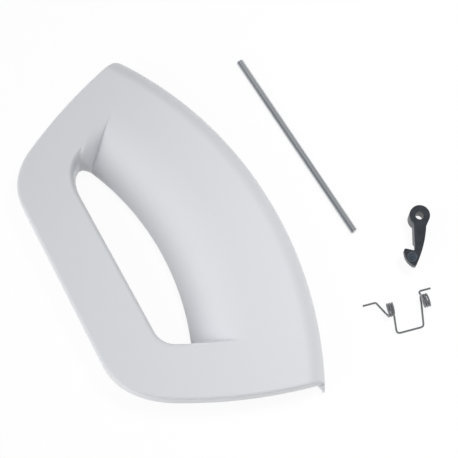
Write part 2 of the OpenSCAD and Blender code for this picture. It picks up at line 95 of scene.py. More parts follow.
# The camera and the metal see the table nearly white.
table_paper, tree, paper = node_material(
    "table_paper", Base_Color=(0.97, 0.97, 0.97, 1), Roughness=0.9, Specular_IOR_Level=0.0)
glow_share = 0.93
light_path = put(tree, "ShaderNodeLightPath").outputs
mirrored = put(tree, "ShaderNodeMath", {
    0: light_path["Is Glossy Ray"], 1: light_path["Is Transmission Ray"]}, operation="MAXIMUM")
shown = put(tree, "ShaderNodeMath", {
    0: light_path["Is Camera Ray"], 1: mirrored.outputs[0]}, operation="MAXIMUM")
glowing = put(tree, "ShaderNodeMath", {0: shown.outputs[0], 1: glow_share}, operation="MULTIPLY")
paper_glow = put(tree, "ShaderNodeEmission", {"Color": (1, 1, 1, 1), "Strength": 1.0})
paper_mix = put(tree, "ShaderNodeMixShader", {
    0: glowing.outputs[0], 1: paper.outputs[0], 2: paper_glow.outputs[0]})
tree.links.new(paper_mix.outputs[0], tree.nodes["Material Output"].inputs["Surface"])
table.data.materials.append(table_paper)

# The room round the table gives a plain, slightly cool light, and the camera sees it white.
world = bpy.data.worlds.new("studio")
bpy.context.scene.world = world
world.use_nodes = True
tree = world.node_tree
sky = tree.nodes["Background"]
sky.inputs["Color"].default_value = (0.97, 0.985, 1.0, 1)
sky.inputs["Strength"].default_value = 0.395
light_path = put(tree, "ShaderNodeLightPath").outputs
backdrop = put(tree, "ShaderNodeBackground", {"Color": (1, 1, 1, 1), "Strength": 1.0})
sky_mix = put(tree, "ShaderNodeMixShader", {
    0: light_path["Is Camera Ray"], 1: sky.outputs[0], 2: backdrop.outputs[0]})
tree.links.new(sky_mix.outputs[0], tree.nodes["World Output"].inputs["Surface"])


def soft_light(name, place, aim, size, power, cone=None):
    """A square lamp at a place, turned to face a point. With a cone it is a round lamp whose light
    fades out over the outer half of that cone."""
    lamp = bpy.data.lights.new(name, "SPOT" if cone else "AREA")
    if cone:
        lamp.spot_size, lamp.spot_blend, lamp.shadow_soft_size = np.radians(cone), 0.5, size
    else:
        lamp.shape, lamp.size = "SQUARE", size
    lamp.energy = power
    obj = bpy.data.objects.new(name, lamp)
    obj.location = place
    obj.rotation_euler = (Vector(aim) - Vector(place)).to_track_quat("-Z", "Y").to_euler()
    bpy.context.scene.collection.objects.link(obj)
    return obj


# The edge of the key light's cone falls on the grip bar, which is a little darker than the band.
key_light = soft_light("key_light", place=(0.42, 0.0, 0.95), aim=(0.208, -0.145, 0), size=0.15,
                       power=24.3, cone=42)
fill_light = soft_light("fill_light", place=(-0.72, 0.18, 0.46), aim=(0, 0, 0), size=0.7, power=3.9)
key_light.visible_glossy = fill_light.visible_glossy = False

picture_up = Vector((0.5377, 0.8431, 0.0))
camera_place = Vector((-0.10243, -0.1900, 0.86807))
camera_aim = Vector((0.01465, -0.00643, floor_z * MM))
camera_data = bpy.data.cameras.new("camera")
camera_data.sensor_width = 36
camera_data.lens = 141.48
camera_data.clip_end = 10
camera = bpy.data.objects.new("camera", camera_data)
looking = (camera_aim - camera_place).normalized()
right = looking.cross(picture_up).normalized()
top = right.cross(looking)
camera.matrix_world = Matrix.Translation(camera_place) @ Matrix((
    (right.x, top.x, -looking.x, 0),
    (right.y, top.y, -looking.y, 0),
    (right.z, top.z, -looking.z, 0),
    (0, 0, 0, 1)))
bpy.context.scene.collection.objects.link(camera)
bpy.context.scene.camera = camera

# ---------------------------------------------------------------- grip moulding
# One injection moulding of white plastic: a hollow frame and grip bar round the finger opening,
# with a scoop that rolls down into it and an edge that follows the round door.
FINE = 7
# the round edge with its angles up and down, the band inside it and the lip of the scoop
ring_r, ring_up, ring_down = 192.0, 29.6, 30.6
ring_c = np.array([38.4 - ring_r, 0.0])
band_w, lip_shift = 58.8, 9.75
lip_r = ring_r - band_w
lip_c = ring_c + [0, lip_shift]
# heights over the table, the thickness of the wall and the gentle dome of the face
face_h, lip_h, wall = 22.0, 5.0, 2.4
face_z = floor_z + face_h
dome_c, dome_r = np.array([-20.0, -5.0]), 1400.0
# the scoop: its width, depth and curve, its angles up and down, and its steep wall at the bottom
scoop_w, scoop_drop, scoop_bend = 31.0, face_h - lip_h, 2.35
scoop_up, scoop_down, steep_w, steep_ring_w = 27.0, 24.7, 2.4, 0.9
# the rolled edges: towards the door, round the outline, round the opening and at the opening's ends
roll_w, roll_h = 9.0, 12.0
edge_r, inner_edge_r, draft_w = 1.4, 2.0, 0.2
end_roll_w, end_roll_h, end_point = 4.0, 13.0, 10.0
# how far the rim stands off the table at the ends and at the grip, and its least height
end_lift, grip_gap, rim_least = 8.5, 11.0, wall * 0.6
# how far the outline stands out past its own lines, and the highest Y it may reach
stand_out, top_y = 0.8, 94.7
# the slopes of the sides, the place of the grip bar, the radii of the corners, the crown of the sides
upper_slope, grip_lean, lower_slope, grip_x = 17.0, 5.1, 25.0, -71.2
upper_corner_r, lower_corner_r, tip_r = 24.0, 36.0, 3.5
upper_bulge, lower_bulge = 1.8, 2.5
# the opening: the ends of the lip, the place, lean and reach of the grip's inner side, its corner
lip_top_y, lip_low_y = 54.4, -46.6
inner_x, inner_lean, inner_reach, inner_corner_r = -43.6, 3.7, 41.0, 11.0


def along(angle):
    """Unit direction at an angle in degrees, one row per angle."""
    a = np.radians(angle)
    return np.stack([np.cos(a), np.sin(a)], -1)


def unit(v):
    """The same direction with length 1."""
    return v / np.linalg.norm(v, axis=-1, keepdims=True)


def left_of(v):
    """The vector turned a quarter to the left in plan."""
    return np.stack([-v[..., 1], v[..., 0]], -1)


def crossing(p, u, q, v):
    """Where the line through p along u meets the line through q along v."""
    w = q - p
    return p + u * (w[0] * v[1] - w[1] * v[0]) / (u[0] * v[1] - u[1] * v[0])


def shares(count, k=1.0):
    """Shares from 0 up to but not 1, with FINE stations for each of count. A k over 1 crowds the
    start."""
    return ((np.arange(count * FINE) / (count * FINE)) ** k)[:, None]


def arc_run(c, r, a0, a1, count):
    """Stations on a circle from one angle to another."""
    return c + r * along(a0 + (a1 - a0) * shares(count)[:, 0])


def bulge_run(p, q, b, s):
    """Points at shares s of a straight edge that bulges outwards by a parabola of height b."""
    return p + (q - p) * s - left_of(unit(q - p)) * 4 * b * s * (1 - s)


def bulge_dir(p, q, b, side):
    """Direction of a bulged edge at its start (1) or its end (-1)."""
    return unit(unit(q - p) - side * left_of(unit(q - p)) * 4 * b / np.linalg.norm(q - p))


def free_run(p, u, a, q, v, b, s):
    """Cubic curve from p along u to q along v, pulled by a at its start and b at its end."""
    return ((1 - s) ** 3 * p + 3 * s * (1 - s) ** 2 * (p + u * a)
            + 3 * s * s * (1 - s) * (q - v * b) + s ** 3 * q)


def corner_run(p, u, q, v, count):
    """Stations on a smooth corner that leaves p along u and comes to q along v. The pull of a cubic
    that follows a circle is two thirds of the chord over 1 plus the cosine of half the turn."""
    turn = np.arccos(np.clip(u @ v, -1, 1))
    pull = np.linalg.norm(q - p) * 2 / 3 / (1 + np.cos(turn / 2))
    return free_run(p, u, pull, q, v, pull, shares(count))


# The outline in plan, counter-clockwise: up the round edge, along the upper side, down the grip
# bar and back along the lower side.
ring_top, ring_low = ring_c + ring_r * along(ring_up), ring_c + ring_r * along(-ring_down)
upper_dir, grip_dir, lower_dir = -along(upper_slope), -along(90 - grip_lean), along(-lower_slope)
grip_line = np.array([grip_x, 0.0])
upper_corner = crossing(ring_top, upper_dir, grip_line, grip_dir)
lower_corner = crossing(ring_low, lower_dir, grip_line, grip_dir)
upper_trim = upper_corner_r * np.tan(np.arccos(upper_dir @ grip_dir) / 2)
lower_trim = lower_corner_r * np.tan(np.arccos(grip_dir @ lower_dir) / 2)
tip_trim = tip_r * 1.2
tip_angle = np.degrees(tip_trim / ring_r)
steep_angle = np.degrees(steep_ring_w / ring_r)
tip_start = ring_c + ring_r * along(ring_up - tip_angle)
upper_p, upper_q = ring_top + upper_dir * tip_trim, upper_corner - upper_dir * upper_trim
grip_p, grip_q = upper_corner + grip_dir * upper_trim, lower_corner - grip_dir * lower_trim
lower_p, lower_q = lower_corner + lower_dir * lower_trim, ring_low - lower_dir * edge_r * 0.7

n_scoop, n_ring_top, n_tip, n_upper, n_upper_corner = 34, 3, 4, 9, 8
n_grip, n_lower_corner, n_lower, n_ring_low, n_steep = 9, 9, 14, 2, 3
outer = np.concatenate([
    arc_run(ring_c, ring_r, -scoop_down, scoop_up, n_scoop),
    arc_run(ring_c, ring_r, scoop_up, ring_up - tip_angle, n_ring_top),
    corner_run(tip_start, along(90 + ring_up - tip_angle),
               upper_p, bulge_dir(upper_p, upper_q, upper_bulge, 1), n_tip),
    bulge_run(upper_p, upper_q, upper_bulge, shares(n_upper)),
    corner_run(upper_q, bulge_dir(upper_p, upper_q, upper_bulge, -1), grip_p, grip_dir, n_upper_corner),
    bulge_run(grip_p, grip_q, 0, shares(n_grip)),
    corner_run(grip_q, grip_dir, lower_p, bulge_dir(lower_p, lower_q, lower_bulge, 1), n_lower_corner),
    bulge_run(lower_p, lower_q, lower_bulge, 1 - (1 - shares(n_lower)) ** 1.8),
    bulge_run(lower_q, ring_low, 0, shares(1)),
    arc_run(ring_c, ring_r, -ring_down, -scoop_down - steep_angle, n_ring_low),
    arc_run(ring_c, ring_r, -scoop_down - steep_angle, -scoop_down, n_steep)])

# The finger opening in plan, one point for each point of the outline.
lip_up_a = np.degrees(np.arcsin((lip_top_y - lip_shift) / lip_r))
lip_down_a = np.degrees(np.arcsin((lip_low_y - lip_shift) / lip_r))
lip_top, lip_low = lip_c + lip_r * along(lip_up_a), lip_c + lip_r * along(lip_down_a)
inner_line, inner_dir = np.array([inner_x, 0.0]), -along(90 - inner_lean)
inner_top = inner_line - inner_dir * inner_reach
wall_dir = unit(ring_c + ring_r * along(-scoop_down) - lip_low)
steep_p = lip_low - left_of(wall_dir) * steep_w
fan_p = steep_p - wall_dir * steep_w * 0.8
inner_corner = crossing(inner_line, inner_dir, steep_p, wall_dir)
inner_trim = inner_corner_r * 0.62
inner_q = inner_corner - inner_dir * inner_trim
lower_wall_p = inner_corner + wall_dir * inner_trim
n_top_end, n_inner, n_inner_corner, n_lower_wall, n_fan = 18, 22, 7, 4, 8
inner = np.concatenate([
    arc_run(lip_c, lip_r, lip_down_a, lip_up_a, n_scoop),
    free_run(lip_top, along(90 + lip_up_a + 6), end_point,
             inner_top, inner_dir, end_point * 1.4, shares(n_top_end, 1.3)),
    bulge_run(inner_top, inner_q, 0, shares(n_inner)),
    corner_run(inner_q, inner_dir, lower_wall_p, wall_dir, n_inner_corner),
    bulge_run(lower_wall_p, fan_p, 0, shares(n_lower_wall)),
    bulge_run(fan_p, steep_p, 0, shares(n_fan)),
    bulge_run(steep_p, lip_low, 0, shares(n_steep))])

station = np.arange(len(outer)) / FINE
n_all = station[-1] + 1 / FINE
n_roll, n_skin = 7, 2


def ease(s):
    """Smooth rise from 0 to 1 with level ends: 3 s squared less 2 s cubed."""
    t = np.clip(s, 0, 1)
    return t * t * (3 - 2 * t)


def quarter(x):
    """Drop of a quarter circle of radius 1, from its top out to x."""
    return 1 - np.sqrt(np.clip(1 - x * x, 0, 1))


def scoop_share(t):
    """1 in the scoop and 0 on the frame, rolling over at the top and steep at the bottom."""
    rolled = quarter(1 - (t - n_scoop) / n_roll)
    steep = np.clip((t - n_all + n_steep) / n_steep, 0, 1) ** 1.5
    return np.where(t <= n_scoop, 1, np.where(t < n_scoop + n_roll, rolled, steep))


def under_share(t):
    """The same for the underside, a wall's thickness further out."""
    rolled = scoop_share(np.maximum(t - n_skin, n_scoop))
    return np.where(t < n_scoop + n_roll + n_skin, rolled, ease(t - n_all + n_steep + n_skin + 1))


# How much of the round edge's roll each station has: all of it on the ring, none on the sides.
ring_end = n_scoop + n_ring_top
tip_end = ring_end + n_tip
upper_end = tip_end + n_upper
grip_end = upper_end + n_upper_corner + n_grip
corner_end = grip_end + n_lower_corner
lower_end = n_all - n_steep - n_ring_low
ring_share = np.where(station <= ring_end, 1,
                      np.where(station < tip_end, 1 - (station - ring_end) / n_tip,
                               np.clip(station - lower_end + 1, 0, 1)))

# How high the rim stands off the table, round the outline and round the opening.
rim_lift = end_lift * np.select(
    [station < tip_end - 2, station < upper_end, station < grip_end, station < corner_end,
     station <= lower_end],
    [0, ease((station - tip_end + 2) / 2), 1 - ease((station - upper_end) / n_upper_corner),
     ease((station - grip_end) / n_lower_corner), 1],
    1 - ease((station - lower_end) / 0.5))
low_rim = lip_h - wall * 1.5
rise_start, rise_end = n_scoop + n_skin, n_scoop + n_top_end
fall_end = n_all - n_steep - n_skin
fall_start = fall_end - n_fan - n_lower_wall + n_skin
inner_rim = np.select(
    [station <= rise_start, station < rise_end, station <= fall_start, station < fall_end],
    [low_rim, low_rim + (grip_gap - low_rim) * ease((station - rise_start) / (rise_end - rise_start)),
     grip_gap, grip_gap + (low_rim - grip_gap) * ease((station - fall_start) / (fall_end - fall_start))],
    low_rim)

# The deep roll at the ends of the opening: how much of it each station has, and how wide it is.
end_share = np.minimum(ease(station / 6),
                       1 - ease((station - n_scoop - 0.45 * n_top_end) / (0.6 * n_top_end)))
end_width = end_roll_w * (3 - 2 * ease((station - n_scoop) / (0.55 * n_top_end)))


def dome_at(p):
    """Height of the gentle dome of the face over plan points."""
    return face_z - ((p - dome_c) ** 2).sum(-1) / dome_r / 2


def ring_roll(p, skin):
    """Drop of the edge that rolls down towards the round door: a quarter of an ellipse over the
    last stretch before the ring."""
    e = ring_r - np.linalg.norm(p - ring_c, axis=-1)
    return (roll_h - skin) * quarter(np.clip((roll_w - e) / (roll_w - skin), 0, 1))


def scoop_fall(d):
    """Drop of the scoop at a distance from its lip: its depth times a power of the share of the
    width that is left, so it starts level and is steepest at the lip."""
    return scoop_drop * np.clip(1 - d / scoop_w, 0, None) ** scoop_bend


def scoop_slope(d):
    """Slope of that fall."""
    return scoop_bend * scoop_drop / scoop_w * np.clip(1 - d / scoop_w, 0, None) ** (scoop_bend - 1)


def turned(a, b):
    """How far two plan directions are from parallel, as the sine between them."""
    return np.abs(a[:, 0] * b[:, 1] - a[:, 1] * b[:, 0])


# Each station has a ray from the opening to the outline. The widths of edges and walls are
# stretched where a ray meets its edge at a slant.
ray = unit(outer - inner)
radial = unit(outer - ring_c)
outward = np.maximum(0.3, (ray * radial).sum(1))
outer_t = np.where(ring_share[:, None] == 1, left_of(radial),
                   unit(np.roll(outer, -1, 0) - np.roll(outer, 1, 0)))
inner_t = unit(np.roll(inner, -1, 0) - np.roll(inner, 1, 0))
out_k = 1 / np.maximum(0.5, turned(outer_t, ray))[:, None]
in_k = 1 / np.maximum(0.5, turned(inner_t, ray))[:, None]
off_ring = 1 - ring_share[:, None]
ring_gap = ring_r - np.linalg.norm(outer - ring_c, axis=1)
to_ring = (np.maximum(ring_gap, 0) / outward)[:, None]
outer = outer + ray * np.minimum(stand_out * off_ring * out_k, to_ring)
outer[:, 1] = np.minimum(outer[:, 1], top_y)
run = np.linalg.norm(outer - inner, axis=1)[:, None]
w_top, w_under = scoop_share(station)[:, None], under_share(station)[:, None]
ring_gap = ring_r - np.linalg.norm(outer - ring_c, axis=1)
to_roll = ((roll_w - ring_gap) / np.maximum(0.5, (ray * radial).sum(1)))[:, None]
edge_w, edge_h = np.maximum(edge_r * out_k, to_roll), edge_r * off_ring
end = end_share[:, None]
in_r = np.minimum((inner_edge_r + (end_width[:, None] - inner_edge_r) * end) * in_k, run * 0.4)
in_h = (inner_edge_r + (end_roll_h - inner_edge_r) * end) * (1 - w_top)
skin, in_w = wall * out_k, wall * in_k
under_h = end_roll_h * end * (1 - w_under)


def plan(d):
    """Plan points at distance d along each station's ray."""
    return inner[:, None] + ray[:, None] * d[..., None]


def top_z(d):
    """Height of the face at distance d along each ray: the dome less the ring's roll and the scoop."""
    return dome_at(plan(d)) - ring_roll(plan(d), 0) - w_top * scoop_fall(d)


def under_z(d):
    """Height of the underside, a wall's thickness square to the slope below the face, and lower
    still where the opening's edge rolls down."""
    return (dome_at(plan(d)) - ring_roll(plan(d), wall) - w_under * scoop_fall(d)
            - wall * np.sqrt(1 + (w_under * scoop_slope(d)) ** 2)
            - under_h * quarter(np.clip((in_r + in_w - d) / in_r, 0, 1)))


def quarter_turn(count):
    """Cosines of evenly spaced angles from 0 to a right angle, as one row."""
    return np.cos(np.linspace(0, np.pi / 2, count))[None]


# The section along each ray: up the opening's rim, over its edge, across the face, over the outer
# edge, down to the outer rim, round its foot and back along the underside.
n_bend, n_face, n_edge, n_under_edge, n_under = 13, 36, 20, 9, 24
bend = quarter_turn(n_bend)
d_bend = in_r * (1 - bend)
d_face = in_r + (run - edge_w - in_r) * np.linspace(0, 1, n_face)[None, 1:] ** 1.15
d_edge = run - edge_w * quarter_turn(n_edge)[:, 1:]
rim_in = np.minimum((floor_z + inner_rim)[:, None], top_z(np.zeros_like(run)) - in_h - wall * 1.3)
rim_out = floor_z + np.minimum(rim_lift[:, None], top_z(run) - floor_z - edge_h - rim_least)
flare = np.minimum(draft_w * off_ring * out_k, np.maximum(ring_gap, 0)[:, None])
under_w = np.maximum(rim_least, edge_w - skin)
d_under_edge = run - skin - under_w * (1 - quarter_turn(n_under_edge))
d_under = in_w + (run - skin - under_w - in_w) * np.linspace(1, 0, n_under)[None, 1:] ** 1.4
columns = [
    (np.zeros_like(run), rim_in),
    (d_bend, top_z(d_bend) - in_h * quarter(bend)),
    (d_face, top_z(d_face)),
    (d_edge, top_z(d_edge) - edge_h * quarter(np.maximum(0, 1 - (run - d_edge) / edge_r / out_k))),
    (run + flare, rim_out),
    (run + flare - skin, rim_out),
    (d_under_edge, under_z(d_under_edge)),
    (d_under, under_z(d_under)),
    (in_w, rim_in)]


def skin_faces(rows, cols, ends_meet=False):
    """Faces of a skin made of rows of points, each of them a closed loop that runs
    counter-clockwise as seen from the last row. The last row meets the first one, or both are
    filled in."""
    i, j = np.meshgrid(np.arange(rows if ends_meet else rows - 1), np.arange(cols), indexing="ij")
    i2, j2 = (i + 1) % rows, (j + 1) % cols
    faces = np.stack([i * cols + j, i * cols + j2, i2 * cols + j2, i2 * cols + j], -1)
    faces = faces.reshape(-1, 4).tolist()
    if not ends_meet:
        loop = np.arange(cols)
        faces += [loop[::-1].tolist(), ((rows - 1) * cols + loop).tolist()]
    return faces


d_all = np.concatenate([d for d, z in columns], 1)
z_all = np.concatenate([np.broadcast_to(z, d.shape) for d, z in columns], 1)
shell_points = np.concatenate([plan(d_all), z_all[..., None]], -1)
shell = new_object("grip_shell", shell_points, skin_faces(*d_all.shape, ends_meet=True))

# The lugs: two flat bosses that hang from the band and carry the hinge pin.
# Each is a plate between its outline and its bore, matched by the angle round the bore.
hinge_bore, lug_d, lug_t, lug_gap, lug_half = 4.2, 9.6, 4.0, 26.0, 8.3


def band_middle(x, y):
    """Height of the middle of the band's wall over a plan point."""
    p = np.stack(np.broadcast_arrays(x, y), -1)
    d = np.linalg.norm(p - lip_c, axis=-1) - lip_r
    return dome_at(p) - scoop_fall(d) - wall / 2 * np.sqrt(1 + scoop_slope(d) ** 2)


def upright(outline, y):
    """Points of an outline of (x, z) that stands across Y at one place."""
    return np.stack([outline[:, 0], np.full(len(outline), y), outline[:, 1]], -1)


def bored_plate(name, outline, bore_r, y0, y1):
    """A plate across Y: loops of bore and outline at both faces, joined into one closed skin."""
    bore = bore_r * unit(outline)
    loops = np.stack([upright(bore, y0), upright(bore, y1), upright(outline, y1), upright(outline, y0)])
    return new_object(name, loops, skin_faces(*loops.shape[:2], ends_meet=True))


def lug_outline(y):
    """Round below the axis, then straight sides up to the middle of the band's wall."""
    low = lug_d / 2 * along(np.linspace(180, 360, 33))
    top_x = np.linspace(lug_half, -lug_half, 17)
    top_line = np.stack([top_x, band_middle(top_x, y)], -1)
    rise = np.linspace(0, 1, 9)[1:-1, None]
    return np.concatenate([low, low[-1] + (top_line[0] - low[-1]) * rise, top_line,
                           top_line[-1] + (low[0] - top_line[-1]) * rise])


lugs = [bored_plate(name, lug_outline(y + lug_t / 2), hinge_bore / 2, y, y + lug_t)
        for name, y in (("upper_lug", lug_gap / 2), ("lower_lug", -lug_gap / 2 - lug_t))]

# The ribs: thin walls across the band, from the roll of the scoop out into the skirt.
rib_t, rib_lift, rib_start, rib_level = 1.8, 8.0, 9.0, 28.9


def ring_x(c, r, y):
    """Plan X of a circle at a height Y, on its outer side."""
    return c[0] + np.sqrt(r * r - (y - c[1]) ** 2)


def rib(name, y):
    """A wall of one thickness: its top follows the middle of the band and of the edge's roll, and
    its foot is level."""
    face_x = ring_x(lip_c, lip_r + np.linspace(rib_start, rib_level, 24), y)
    turn = along(np.linspace(0, 90, 16))
    roll_x = ring_x(ring_c, ring_r - roll_w + (roll_w - wall / 2) * turn[:, 1], y)
    roll_top = dome_at(np.stack(np.broadcast_arrays(roll_x, y), -1)) - roll_h
    x = np.concatenate([face_x, roll_x])
    z = np.concatenate([band_middle(face_x, y), roll_top + (roll_h - wall / 2) * turn[:, 0]])
    crest = np.stack([x, z], -1)
    foot = np.stack([x, np.minimum(floor_z + rib_lift, z)], -1)
    y0, y1 = y - rib_t / 2, y + rib_t / 2
    loops = np.stack([upright(foot, y1), upright(crest, y1), upright(crest, y0), upright(foot, y0)], 1)
    return new_object(name, loops, skin_faces(*loops.shape[:2]))


ribs = [rib(name, y) for name, y in (
    ("rib_lower_end", -58.0), ("rib_lower", -36.0), ("rib_upper", 36.0), ("rib_upper_end", 58.0))]

# The spur: the rolled edge runs on past the lower end and narrows to a blunt tip.
# Each station is a rounded section: out along the ring, over its top, down its hollow side.
spur_l, spur_root, spur_tip, spur_inset = 3.95, 3.4, 1.1, 0.02
spur_h, spur_fall, spur_crown = 8.2, 2.4, 1.0
spur_s = np.linspace(-0.9, 1, 40)[:, None]
spur_a = -ring_down - np.degrees(spur_l / ring_r) * spur_s[:, 0]
spur_w = spur_tip + (spur_root - spur_tip) * (1 - ease(spur_s * 0.9 + 0.05)) ** 1.4
spur_w = spur_w * np.sqrt(np.clip(1.03 - np.clip(spur_s, 0, 1) ** 14, 0, 1))
over = np.linspace(0, np.pi, 15)[None]
spur_in = np.concatenate([0 * spur_s, (1 - np.cos(over)) / 2 * spur_w, spur_w], 1)
spur_rise = np.concatenate([
    0 * spur_s, spur_h - spur_fall * ease(spur_s) - spur_crown + spur_crown * np.sin(over), 0 * spur_s], 1)
spur_plan = ring_c + (ring_r - spur_inset - spur_in)[..., None] * along(spur_a)[:, None]
spur = new_object("skirt_spur", np.concatenate([spur_plan, (floor_z + spur_rise)[..., None]], -1),
                  skin_faces(*spur_in.shape))


def skin_group(name, pattern, pattern_sockets):
    """A node group for the skin of a piece, from a pattern that gives two noises. The first shifts
    the colour and the roughness to both sides of the given ones, and the second raises the surface
    by the relief."""
    group = bpy.data.node_groups.new(name, "ShaderNodeTree")
    for label, kind, value in (
            *pattern_sockets, ("Colour", "Color", (0.5, 0.5, 0.5, 1)), ("Roughness", "Float", 0.4),
            ("Tone Spread", "Float", 0.1), ("Rough Spread", "Float", 0.1), ("Relief", "Float", 0.00001)):
        socket = group.interface.new_socket(label, in_out="INPUT", socket_type="NodeSocket" + kind)
        socket.default_value = value
    for label, kind in (("Colour", "Color"), ("Roughness", "Float"), ("Normal", "Vector")):
        group.interface.new_socket(label, in_out="OUTPUT", socket_type="NodeSocket" + kind)
    given = put(group, "NodeGroupInput").outputs
    broad, fine = pattern(group, given)
    middle = put(group, "ShaderNodeMath", {0: broad, 1: 0.5}, operation="SUBTRACT").outputs[0]
    tone = put(group, "ShaderNodeMath", {0: middle, 1: given["Tone Spread"], 2: 1.0},
               operation="MULTIPLY_ADD")
    rough = put(group, "ShaderNodeMath", {0: middle, 1: given["Rough Spread"], 2: given["Roughness"]},
                operation="MULTIPLY_ADD")
    shaded = put(group, "ShaderNodeVectorMath", {0: given["Colour"], "Scale": tone.outputs[0]},
                 operation="SCALE")
    bump = put(group, "ShaderNodeBump", {"Height": fine, "Distance": given["Relief"]})
    put(group, "NodeGroupOutput", {"Colour": shaded.outputs[0], "Roughness": rough.outputs[0],
                                   "Normal": bump.outputs["Normal"]})
    return group


def grain_noises(group, given):
    """Moulded or cast skin: soft broad clouds for the tone, and a fine even grain for the relief."""
    place = put(group, "ShaderNodeTexCoord").outputs["Object"]
    return [put(group, "ShaderNodeTexNoise", {"Vector": place, "Scale": given[scale], "Detail": detail})
            .outputs["Fac"] for scale, detail in (("Broad Scale", 3.0), ("Fine Scale", 2.0))]


skin_grain = skin_group("skin_grain", grain_noises, (
    ("Broad Scale", "Float", 40.0), ("Fine Scale", "Float", 3000.0)))


def skinned(tree, shader, group, **feeds):
    """Places a skin group in a material with its own feeds, and feeds the shader from it."""
    node = put(tree, "ShaderNodeGroup", {label.replace("_", " "): feed for label, feed in feeds.items()},
               node_tree=group)
    for label, target in (("Colour", "Base Color"), ("Roughness", "Roughness"), ("Normal", "Normal")):
        tree.links.new(node.outputs[label], shader.inputs[target])


white_plastic, tree, plastic = node_material("white_plastic", Specular_IOR_Level=0.45, IOR=1.5)
skinned(tree, plastic, skin_grain, Colour=(0.70, 0.71, 0.735, 1), Roughness=0.3, Broad_Scale=28.0,
        Tone_Spread=0.012, Rough_Spread=0.10, Fine_Scale=2600.0, Relief=0.000004)
for piece in (shell, *lugs, *ribs, spur):
    piece.data.materials.append(white_plastic)
    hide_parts("grip_moulding")
    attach(piece, "root")

# ---------------------------------------------------------------- hinge pin
# A plain round bar of ground steel with chamfered ends. It carries the grip, the hook and the
# spring when the handle is fitted, and here it lies loose on the table.
pin_r, pin_l, pin_chamfer, pin_soft, pin_x, pin_y = 2.0, 106.6, 0.5, 0.12, 66.4, 11.5


def turned_bar(profile, around):
    """A profile of (distance along, radius) carried round the Y axis. Each of its points becomes a
    circle of that radius, which starts at the bottom of the bar."""
    angle = -np.pi / 2 - np.linspace(0, 2 * np.pi, around, endpoint=False)[None]
    distance, radius = profile[:, :1], profile[:, 1:]
    return np.stack(np.broadcast_arrays(radius * np.cos(angle), distance, radius * np.sin(angle)), -1)


# one end of the bar: its flat, a chamfer with both corners eased, and the start of the round
pin_end = -pin_l / 2
flat_r, chamfer_end = pin_r - pin_chamfer, pin_end + pin_chamfer
end_profile = np.array([
    [pin_end, 0.001], [pin_end, flat_r * 0.5], [pin_end, flat_r - pin_soft],
    [pin_end + pin_soft * 0.3, flat_r - pin_soft * 0.3], [pin_end + pin_soft, flat_r + pin_soft * 0.7],
    [chamfer_end - pin_soft, pin_r - pin_soft], [chamfer_end - pin_soft * 0.2, pin_r - pin_soft * 0.3],
    [chamfer_end + pin_soft, pin_r]])
round_profile = np.stack([np.linspace(pin_end + 1, -pin_end - 1, 60), np.full(60, pin_r)], -1)
pin_points = turned_bar(np.concatenate([end_profile, round_profile, end_profile[::-1] * [-1, 1]]), 64)
pin = new_object("pin_bar", pin_points + [pin_x, pin_y, floor_z + pin_r], skin_faces(*pin_points.shape[:2]))


def line_noises(group, given):
    """Drawn or ground skin: one noise, stretched along the piece, makes fine lines for both."""
    stretched = put(group, "ShaderNodeVectorMath", {0: given["Place"], 1: given["Stretch"]},
                    operation="MULTIPLY").outputs[0]
    lines = put(group, "ShaderNodeTexNoise", {"Vector": stretched, "Scale": 1.0, "Detail": 2.0})
    return lines.outputs["Fac"], lines.outputs["Fac"]


drawn_lines = skin_group("drawn_lines", line_noises, (
    ("Place", "Vector", (0, 0, 0)), ("Stretch", "Vector", (1, 1, 1))))


def ramp(tree, share, *stops):
    """Colours over a share from 0 to 1, given as stops of (share, colour)."""
    node = put(tree, "ShaderNodeValToRGB", {"Fac": share})
    elements = node.color_ramp.elements
    for spot, colour in stops[1:-1]:
        elements.new(spot).color = (*colour, 1)
    elements[0].color, elements[-1].color = (*stops[0][1], 1), (*stops[-1][1], 1)
    return node.outputs["Color"]


# painted shade and highlight across the bar: one side of the bar is painted darker as if shaded, and a
# painted highlight line runs beside it
ground_steel, tree, steel = node_material("ground_steel", Metallic=1.0)
place = put(tree, "ShaderNodeTexCoord").outputs["Object"]
across = put(tree, "ShaderNodeSeparateXYZ", {0: place}).outputs["X"]
across_share = put(tree, "ShaderNodeMapRange", {
    "Value": across, "From Min": (pin_x - pin_r) * MM, "From Max": (pin_x + pin_r) * MM})
painted_shade_and_highlight = ramp(tree, across_share.outputs["Result"],
             (0.00, (0.76, 0.78, 0.80)), (0.16, (0.46, 0.48, 0.51)), (0.32, (0.50, 0.52, 0.55)),
             (0.42, (0.93, 0.95, 0.97)), (0.52, (0.70, 0.72, 0.74)), (0.80, (0.88, 0.90, 0.92)),
             (1.00, (0.90, 0.92, 0.94)))
skinned(tree, steel, drawn_lines, Place=place, Stretch=(420.0, 14.0, 420.0), Colour=painted_shade_and_highlight,
        Roughness=0.36, Tone_Spread=0.9, Rough_Spread=0.25, Relief=0.000006)
pin.data.materials.append(ground_steel)
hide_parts("hinge_pin")
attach(pin, "root")

# ---------------------------------------------------------------- latch hook
# One dark casting: a boss with its bore, an arm, a throat and a nose, with a round mark in its face.
# It is a copy of the solid with its corners rounded, because a casting's edges are blunt.
hook_edge, hook_weld = 0.32, 0.004
hook_mesh = bmesh.new()
hook_mesh.from_mesh(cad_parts["latch_hook"].data)
bmesh.ops.remove_doubles(hook_mesh, verts=hook_mesh.verts, dist=hook_weld * MM)
bmesh.ops.dissolve_limit(hook_mesh, angle_limit=np.radians(1.0), verts=hook_mesh.verts,
                         edges=hook_mesh.edges)
corners = [e for e in hook_mesh.edges if len(e.link_faces) == 2 and e.calc_face_angle() > np.radians(40)]
bmesh.ops.bevel(hook_mesh, geom=corners, offset=hook_edge * MM, segments=3, profile=0.6,
                affect="EDGES", clamp_overlap=True)
bmesh.ops.triangulate(hook_mesh, faces=[f for f in hook_mesh.faces if len(f.verts) > 4])
hook_data = bpy.data.meshes.new("hook_casting")
